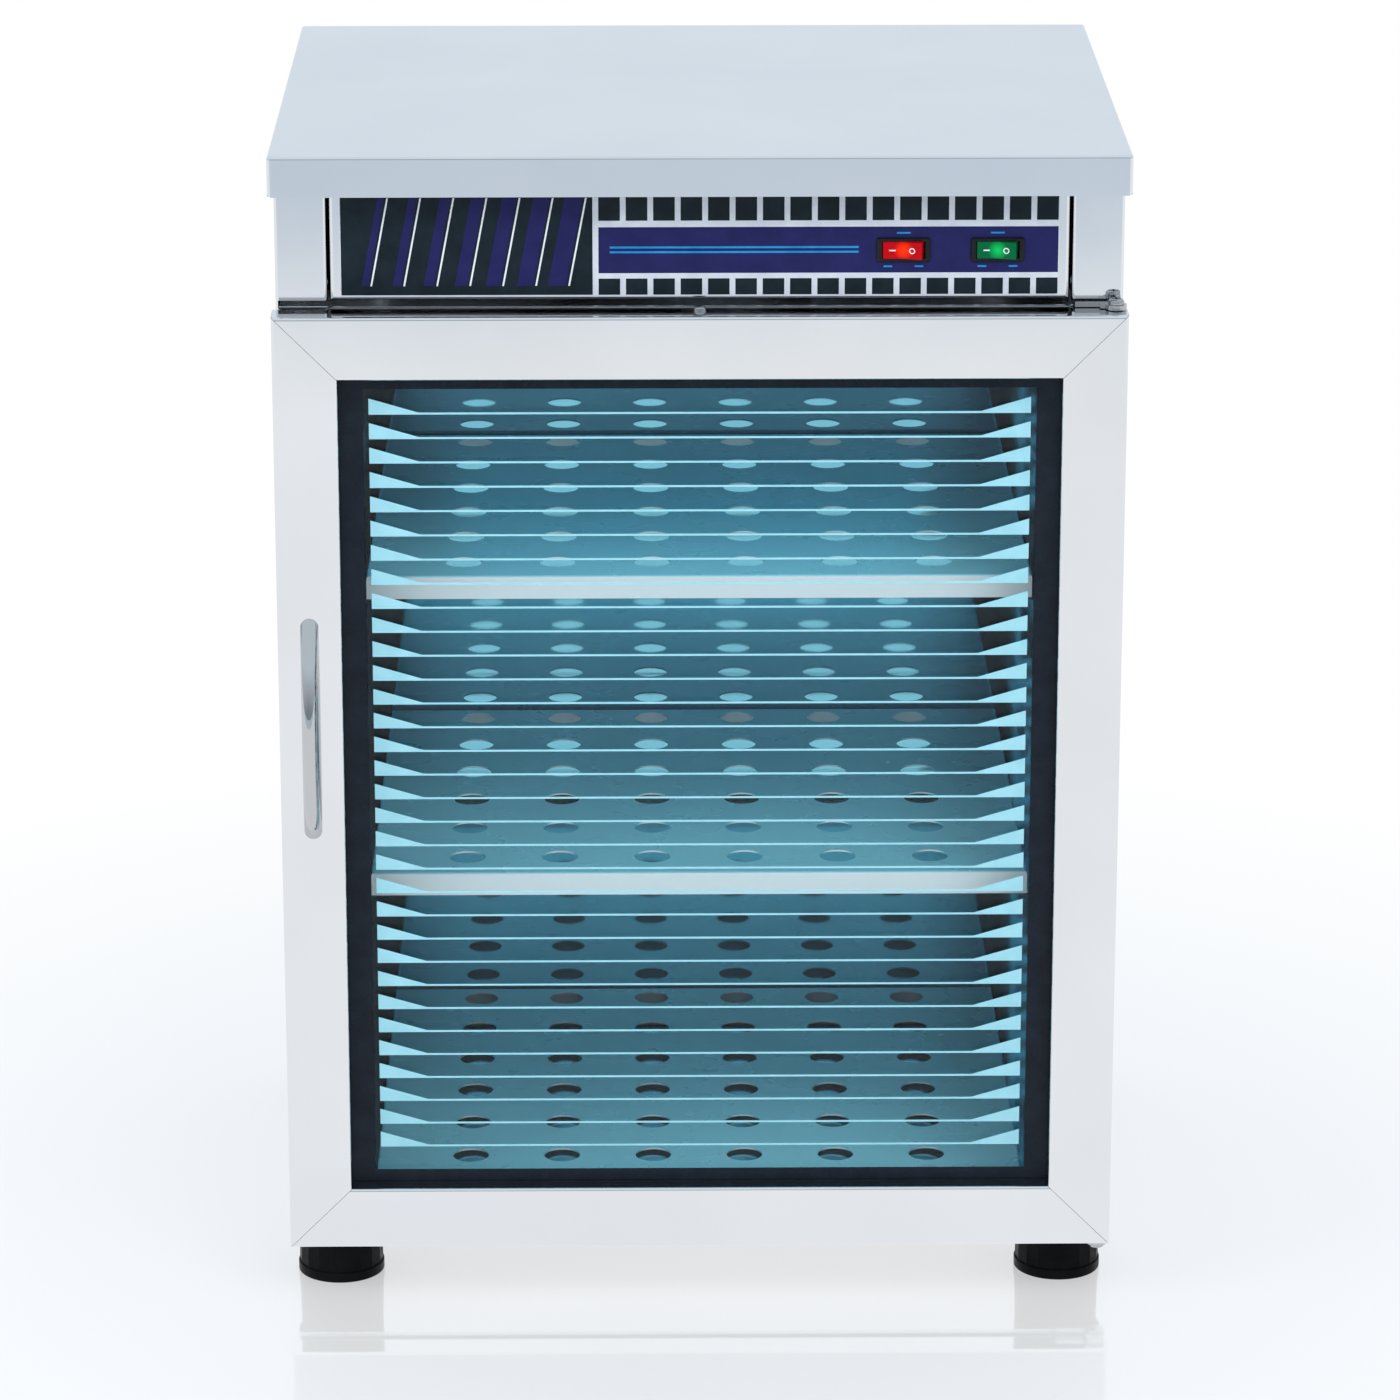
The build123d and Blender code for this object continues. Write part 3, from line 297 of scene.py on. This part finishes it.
def edge_lit_steel(name, bright, dark, rough, ripple, metallic, painted_lit_edge_colour, edge_rough):
    """Shelf sheet: satin plate whose faces towards the front, the folded lips, are rougher and painted
    paler; the paler colour is painted light from the studio lamps.
    """
    surface = sheet(name, bright, dark, rough, ripple)
    tree = surface.tree
    facing = tree.nodes.new("ShaderNodeSeparateXYZ")
    surface.link(tree.nodes.new("ShaderNodeNewGeometry").outputs["True Normal"], facing.inputs["Vector"])
    # Faces that look to the front; the pale colour mixed in on them is painted light, a lit copy of the teal
    # plate.
    edge = surface.spread(facing.outputs["Y"], 1.0, 0.0, -0.9, -0.6)
    colour = tree.nodes.new("ShaderNodeMix")
    colour.data_type = "RGBA"
    plate_colour = surface.shader.inputs["Base Color"].links[0].from_socket
    surface.link(edge, colour.inputs["Factor"])
    surface.link(plate_colour, colour.inputs["A"])
    colour.inputs["B"].default_value = painted_lit_edge_colour
    surface.link(colour.outputs["Result"], surface.shader.inputs["Base Color"])
    surface.link(surface.spread(edge, metallic, 0.0, 0.0, 1.0), surface.shader.inputs["Metallic"])
    satin = tree.nodes.new("ShaderNodeMath")
    satin.operation = "MULTIPLY_ADD"
    satin.inputs[1].default_value = edge_rough
    plate_roughness = surface.shader.inputs["Roughness"].links[0].from_socket
    surface.link(edge, satin.inputs[0])
    surface.link(plate_roughness, satin.inputs[2])
    surface.link(satin.outputs["Value"], surface.shader.inputs["Roughness"])
    return surface.material


def ink(name, first, second, rough=(0.3, 0.45), sheen=0.12):
    """Screen-printed ink with slight unevenness."""
    surface = Surface(name, first, rough[0])
    surface.shader.inputs["Specular IOR Level"].default_value = sheen
    surface.vary_colour(first, second, 90.0, 5.0)
    surface.vary_roughness(*rough, 150.0, 4.0)
    surface.bump(900.0, 0.00002, 0.4)
    return surface.material


def grey(value, tilt=0.0):
    return (value * (1 - tilt), value, min(1.0, value * (1 + tilt)), 1.0)


looks = {
    "polished_steel": steel(
        "polished_steel", (0.82, 0.835, 0.85, 1), (0.775, 0.79, 0.81, 1), (0.05, 0.11), 0.0006
    ),
    # The liner's teal colour is painted light: plain steel coloured as if lit by the blue UV lamp.
    "chamber_steel": steel(
        "chamber_steel", (0.26, 0.62, 0.73, 1), (0.22, 0.56, 0.68, 1), (0.03, 0.06), 0.0003, metallic=0.95
    ),
    # The shelf plates' teal is painted light from the UV lamp on plain steel; their front lips get a painted
    # paler colour for studio light through the glass.
    "shelf_steel": edge_lit_steel(
        "shelf_steel", (0.36, 0.80, 0.90, 1), (0.32, 0.74, 0.85, 1), (0.24, 0.32), 0.0003, metallic=0.2,
        painted_lit_edge_colour=(0.90, 0.93, 0.94, 1), edge_rough=0.2,
    ),
    "hinge_steel": steel("hinge_steel", (0.52, 0.53, 0.54, 1), (0.44, 0.45, 0.46, 1), (0.12, 0.24), 0.0002),
    "screw_steel": steel("screw_steel", (0.46, 0.47, 0.48, 1), (0.38, 0.39, 0.40, 1), (0.10, 0.20), 0.0001),
    "ballast_steel": steel("ballast_steel", (0.5, 0.51, 0.52, 1), (0.38, 0.39, 0.4, 1), (0.3, 0.48), 0.0001),
    "handle_chrome": steel(
        "handle_chrome", (0.58, 0.585, 0.59, 1), (0.54, 0.545, 0.55, 1), (0.02, 0.05), 0.0001
    ),
    "tinted_glass": tinted_glass("tinted_glass", (0.88, 0.96, 0.98, 1), (0.95, 0.99, 1.0, 1)),
    "black_rubber": plastic("black_rubber", grey(0.012), grey(0.022), (0.45, 0.6), 0.00004, 700.0),
    "black_plastic": plastic(
        "black_plastic", grey(0.005, 0.1), grey(0.010, 0.1), (0.28, 0.42), 0.00003, 900.0, sheen=0.25
    ),
    "foot_plastic": plastic(
        "foot_plastic", grey(0.003, 0.15), grey(0.007, 0.15), (0.3, 0.5), 0.00005, 500.0, sheen=0.05
    ),
    "white_plastic": plastic("white_plastic", grey(0.72), grey(0.8), (0.35, 0.5), 0.00003, 800.0),
    "printed_film": ink("printed_film", linear(206, 211, 220), linear(222, 226, 233), (0.22, 0.34)),
    "red_lens": lens("red_lens", SWITCH_X[0], linear(165, 4, 14), linear(255, 50, 4), 0.4),
    "green_lens": lens("green_lens", SWITCH_X[1], linear(0, 92, 52), linear(10, 190, 90), 0.25),
}
lamp_surface = Surface("lamp_glass", (0.8, 0.92, 1.0, 1), 0.2)
lamp_surface.vary_roughness(0.15, 0.25, 60.0)
lamp_surface.glow((0.20, 0.80, 1.0, 1), 1.2)
looks["lamp_glass"] = lamp_surface.material

black_ink = ink("black_ink", linear(20, 31, 38), linear(27, 40, 48))
navy_ink = ink("navy_ink", linear(32, 33, 85), linear(38, 38, 94))
cyan_ink = ink("cyan_ink", linear(24, 132, 200), linear(36, 150, 214))
border_ink = ink("border_ink", linear(24, 30, 39), linear(30, 37, 46), (0.2, 0.32), sheen=0.1)
stripe_ink = ink("stripe_ink", linear(150, 206, 218), linear(160, 214, 226), (0.3, 0.45))
white_ink = ink("white_ink", linear(232, 236, 238), linear(245, 247, 248))

slot_of_node = {}
for part in frame["record"]["subparts"]:
    slot_of_node[part["node"]] = part["material_slot"]
for node_name, node in cad_nodes.items():
    node.data.materials.clear()
    node.data.materials.append(looks[slot_of_node[node_name]])


def add_mesh(name, corners, faces, material, body):
    """New piece from points in millimetres."""
    mesh = bpy.data.meshes.new(name)
    mesh.from_pydata([Vector(c) * MM for c in corners], [], faces)
    shape = bmesh.new()
    shape.from_mesh(mesh)
    bmesh.ops.recalc_face_normals(shape, faces=shape.faces)
    shape.to_mesh(mesh)
    shape.free()
    mesh.materials.append(material)
    piece = bpy.data.objects.new(name, mesh)
    scene.collection.objects.link(piece)
    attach(piece, body)
    return piece


def printed(name, outlines, front, back, material, body):
    """Flat print: outlines of (u, z) points, made solid between the places that front and back give them."""
    corners = []
    faces = []
    for outline in outlines:
        first = len(corners)
        count = len(outline)
        corners.extend(front(*point) for point in outline)
        corners.extend(back(*point) for point in outline)
        faces.append(list(range(first, first + count)))
        faces.append(list(range(first + count, first + 2 * count)))
        for k in range(count):
            after = (k + 1) % count
            faces.append([first + k, first + after, first + count + after, first + count + k])
    return add_mesh(name, corners, faces, material, body)


def on_plane(depth):
    """Maps print coordinates to a plane that faces the front."""
    return lambda u, z: (u, depth, z)


def rectangle(left, right, low, high):
    return [(left, low), (right, low), (right, high), (left, high)]


# Door glass print, fired on the front face

glass_low, glass_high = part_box("glass")
glass_front = glass_low.y / MM
opening_half = glass_high.x / MM - GLASS_HIDDEN
opening_low = glass_low.z / MM + GLASS_HIDDEN
opening_high = glass_high.z / MM - GLASS_HIDDEN
border_out = opening_half + GASKET_CLEAR
border_low = opening_low - GASKET_CLEAR
border_high = opening_high + GASKET_CLEAR
side_in = opening_half - BORDER_SIDE
low_in = opening_low + BORDER_TOP
high_in = opening_high - BORDER_TOP
border = [
    rectangle(-border_out, -side_in, border_low, border_high),
    rectangle(side_in, border_out, border_low, border_high),
    rectangle(-side_in, side_in, border_low, low_in),
    rectangle(-side_in, side_in, high_in, border_high),
]
printed(
    "glass_border_print", border, on_plane(glass_front - INK_T), on_plane(glass_front),
    border_ink, "door",
)
stripes = []
for row in range(STRIPE_COUNT):
    low = STRIPE_TOP_Z - row * STRIPE_PITCH
    line = low + STRIPE_LINE
    stripes.append(
        [
            (-STRIPE_HALF, low),
            (STRIPE_HALF, low),
            (STRIPE_HALF, low + WEDGE_H),
            (STRIPE_HALF - WEDGE_L, line),
            (-STRIPE_HALF + WEDGE_L, line),
            (-STRIPE_HALF, low + WEDGE_H),
        ]
    )
printed(
    "glass_stripe_print", stripes, on_plane(glass_front - INK_T), on_plane(glass_front),
    stripe_ink, "door",
)

# Control film print

film_low, film_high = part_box("overlay")
film_front = film_low.y / MM
ink_front = on_plane(film_front - INK_T)
ink_back = on_plane(film_front)
squares = [rectangle(FILM_LEFT, FIELD_RIGHT, *FIELD_Z)]
for column in range(SQUARE_COUNT):
    left = SQUARE_START + column * SQUARE_PITCH
    for low, high in (LOWER_ROW, UPPER_ROW):
        squares.append(rectangle(left, left + SQUARE_W, low, high))
printed("film_black_print", squares, ink_front, ink_back, black_ink, "cabinet")


def band_with_gaps(left, right, low, high, gaps, gap_low, gap_high):
    """Band cut into rectangles round the switch bezels."""
    parts = []
    start = left
    for gap_left, gap_right in gaps:
        parts.append(rectangle(start, gap_left, low, high))
        parts.append(rectangle(gap_left, gap_right, low, gap_low))
        parts.append(rectangle(gap_left, gap_right, gap_high, high))
        start = gap_right
    parts.append(rectangle(start, right, low, high))
    return parts


bezel_gaps = [(x - BEZEL_HALF_W, x + BEZEL_HALF_W) for x in SWITCH_X]
navy = band_with_gaps(
    SQUARE_START, FILM_RIGHT, *NAVY_BAND, bezel_gaps, SWITCH_Z - BEZEL_HALF_H, SWITCH_Z + BEZEL_HALF_H
)
printed("film_navy_print", navy, ink_front, ink_back, navy_ink, "cabinet")

# Second layer of print on the film


def slanted(left, right):
    """Four-sided bar that leans to the right."""
    low, high = BAR_Z
    return [(left, low), (right, low), (right + BAR_LEAN, high), (left + BAR_LEAN, high)]


second_front = on_plane(film_front - 2 * INK_T)
bars = []
white_edges = []
for k in range(BAR_COUNT):
    left = BAR_START + k * BAR_PITCH
    right = left + BAR_W + k * BAR_GROWTH
    bars.append(slanted(left, right))
    white_edges.append(slanted(right + EDGE_GAP, right + EDGE_GAP + EDGE_W))
printed("film_bar_print", bars, second_front, ink_front, navy_ink, "cabinet")
printed("film_edge_print", white_edges, second_front, ink_front, white_ink, "cabinet")

ticks = []
for x in SWITCH_X:
    ticks.append(rectangle(x - TICK_TOP_HALF, x + TICK_TOP_HALF, *TICK_TOP_Z))
    for middle in (x - TICK_LOW_SIDE, x + TICK_LOW_SIDE):
        ticks.append(rectangle(middle - TICK_LOW_HALF, middle + TICK_LOW_HALF, *TICK_LOW_Z))
printed("film_tick_print", ticks, second_front, ink_front, cyan_ink, "cabinet")
lines = [rectangle(*LINE_X, *span) for span in LINE_Z]
printed("film_line_print", lines, second_front, ink_front, cyan_ink, "cabinet")


# Rocker marks


def on_rocker(x, lift):
    """Maps mark coordinates to the tilted V face of a rocker."""
    turn = math.radians(ROCKER_TILT)

    def place(u, z):
        depth = -ROCKER_MID - ROCKER_V * abs(u) / ROCKER_HALF - lift
        across = u * math.cos(turn) + depth * math.sin(turn)
        along = -u * math.sin(turn) + depth * math.cos(turn)
        return (x + across, ROCKER_Y + along, SWITCH_Z + z)

    return place


def ring_parts(centre, outer, inner, count=24):
    """A ring as a row of four-sided parts."""
    parts = []
    for k in range(count):
        a = 2 * math.pi * k / count
        b = 2 * math.pi * (k + 1) / count
        parts.append(
            [
                (centre + inner * math.cos(a), inner * math.sin(a)),
                (centre + outer * math.cos(a), outer * math.sin(a)),
                (centre + outer * math.cos(b), outer * math.sin(b)),
                (centre + inner * math.cos(b), inner * math.sin(b)),
            ]
        )
    return parts


for body, x in zip(("power_rocker", "uv_rocker"), SWITCH_X):
    marks = [rectangle(*DASH_X, *DASH_Z)] + ring_parts(RING_X, RING_OUT, RING_IN)
    printed(
        f"{body}_marks", marks, on_rocker(x, MARK_LIFT), on_rocker(x, -MARK_SINK),
        white_ink, body,
    )


# Studio


def set_stops(ramp, stops):
    """Gives a colour ramp its two stops."""
    for element, (position, colour) in zip(ramp.color_ramp.elements, stops):
        element.position = position
        element.color = colour


def floor_look():
    """Glossy white floor: a faint mirror image near the object, plain white further out."""
    surface = Surface("floor", (0.9, 0.91, 0.92, 1), 0.4)
    tree = surface.tree
    path = tree.nodes.new("ShaderNodeLightPath")

    def mix(share, first, second):
        node = tree.nodes.new("ShaderNodeMixShader")
        if isinstance(share, float):
            node.inputs["Fac"].default_value = share
        else:
            surface.link(share, node.inputs["Fac"])
        surface.link(first, node.inputs[1])
        surface.link(second, node.inputs[2])
        return node.outputs["Shader"]

    def math_node(operation, first, second):
        node = tree.nodes.new("ShaderNodeMath")
        node.operation = operation
        surface.link(first, node.inputs[0])
        surface.link(second, node.inputs[1])
        return node.outputs["Value"]

    white = tree.nodes.new("ShaderNodeEmission").outputs["Emission"]
    mirror = tree.nodes.new("ShaderNodeBsdfGlossy")
    mirror.inputs["Roughness"].default_value = FLOOR_MIRROR_ROUGH
    near = mix(FLOOR_WHITE, surface.shader.outputs["BSDF"], white)
    near = mix(FLOOR_MIRROR, near, mirror.outputs["BSDF"])
    length = tree.nodes.new("ShaderNodeVectorMath")
    length.operation = "LENGTH"
    surface.link(surface.place, length.inputs[0])
    far = surface.spread(length.outputs["Value"], 0.0, 1.0, NEAR_RADIUS, FAR_RADIUS)
    to_camera = mix(far, near, white)
    plain = mix(path.outputs["Is Camera Ray"], surface.shader.outputs["BSDF"], to_camera)

    parts = tree.nodes.new("ShaderNodeSeparateXYZ")
    surface.link(surface.place, parts.inputs["Vector"])
    ramp = tree.nodes.new("ShaderNodeValToRGB")
    set_stops(ramp, PALE_STOPS)
    surface.link(surface.spread(parts.outputs["Y"], 0.0, 1.0, *PALE_Y), ramp.inputs["Fac"])
    pale = tree.nodes.new("ShaderNodeEmission")
    surface.link(ramp.outputs["Color"], pale.inputs["Color"])
    in_metal = math_node("MAXIMUM", path.outputs["Is Glossy Ray"], path.outputs["Is Transmission Ray"])
    result = mix(in_metal, plain, pale.outputs["Emission"])
    surface.link(result, tree.nodes["Material Output"].inputs["Surface"])
    # The white is for the camera, metal and glass, and lights nothing
    surface.material.cycles.emission_sampling = "NONE"
    return surface.material


floor_mesh = bpy.data.meshes.new("floor")
floor_corners = [(x, y, 0) for x, y in rectangle(-FLOOR_REACH, FLOOR_REACH, -FLOOR_REACH, FLOOR_REACH)]
floor_mesh.from_pydata(floor_corners, [], [(0, 1, 2, 3)])
floor_mesh.materials.append(floor_look())
floor = bpy.data.objects.new("floor", floor_mesh)
scene.collection.objects.link(floor)
floor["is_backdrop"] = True


def make_world():
    """Pale studio behind and above, greyer low in front, and white to the camera."""
    world = bpy.data.worlds.new("studio")
    scene.world = world
    world.use_nodes = True
    tree = world.node_tree
    back = tree.nodes["Background"]
    place = tree.nodes.new("ShaderNodeTexCoord")
    parts = tree.nodes.new("ShaderNodeSeparateXYZ")
    tree.links.new(place.outputs["Generated"], parts.inputs["Vector"])
    ramp = tree.nodes.new("ShaderNodeValToRGB")
    set_stops(ramp, STUDIO_STOPS)
    span = tree.nodes.new("ShaderNodeMapRange")
    span.inputs["From Min"].default_value = -1.0
    span.inputs["From Max"].default_value = 1.0
    tilt = tree.nodes.new("ShaderNodeMath")
    tilt.operation = "MULTIPLY_ADD"
    tilt.inputs[1].default_value = STUDIO_TILT
    tree.links.new(parts.outputs["Z"], tilt.inputs[0])
    tree.links.new(parts.outputs["Y"], tilt.inputs[2])
    tree.links.new(tilt.outputs["Value"], span.inputs["Value"])
    tree.links.new(span.outputs["Result"], ramp.inputs["Fac"])
    tree.links.new(ramp.outputs["Color"], back.inputs["Color"])
    back.inputs["Strength"].default_value = STUDIO_STRENGTH
    white = tree.nodes.new("ShaderNodeBackground")
    path = tree.nodes.new("ShaderNodeLightPath")
    mix = tree.nodes.new("ShaderNodeMixShader")
    tree.links.new(path.outputs["Is Camera Ray"], mix.inputs["Fac"])
    tree.links.new(back.outputs["Background"], mix.inputs[1])
    tree.links.new(white.outputs["Background"], mix.inputs[2])
    white.inputs["Color"].default_value = (1, 1, 1, 1)
    tree.links.new(mix.outputs["Shader"], tree.nodes["World Output"].inputs["Surface"])


make_world()


def add_softbox(name, place, size, power):
    """Square soft light turned towards the object, which mirrors and glass don't show."""
    data = bpy.data.lights.new(name, "AREA")
    data.shape = "SQUARE"
    data.size = size
    data.energy = power
    light = bpy.data.objects.new(name, data)
    light.location = place
    light.rotation_euler = (Vector(LIGHT_TARGET) - Vector(place)).to_track_quat("-Z", "Y").to_euler()
    light.visible_glossy = False
    light.visible_transmission = False
    scene.collection.objects.link(light)


for light_name, (place, size, power) in LIGHTS.items():
    add_softbox(light_name, place, size, power)

camera_data = bpy.data.cameras.new("camera")
camera_data.sensor_width = 36.0
camera_data.lens = FOCAL_PX / FRAME_PX * camera_data.sensor_width
camera = bpy.data.objects.new("camera", camera_data)
camera.location = CAMERA_PLACE
camera.rotation_euler = Euler(
    (math.radians(90 - CAMERA_PITCH), 0, math.radians(-CAMERA_YAW)), "XYZ"
)
scene.collection.objects.link(camera)
scene.camera = camera

bpy.context.view_layer.update()
low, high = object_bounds()
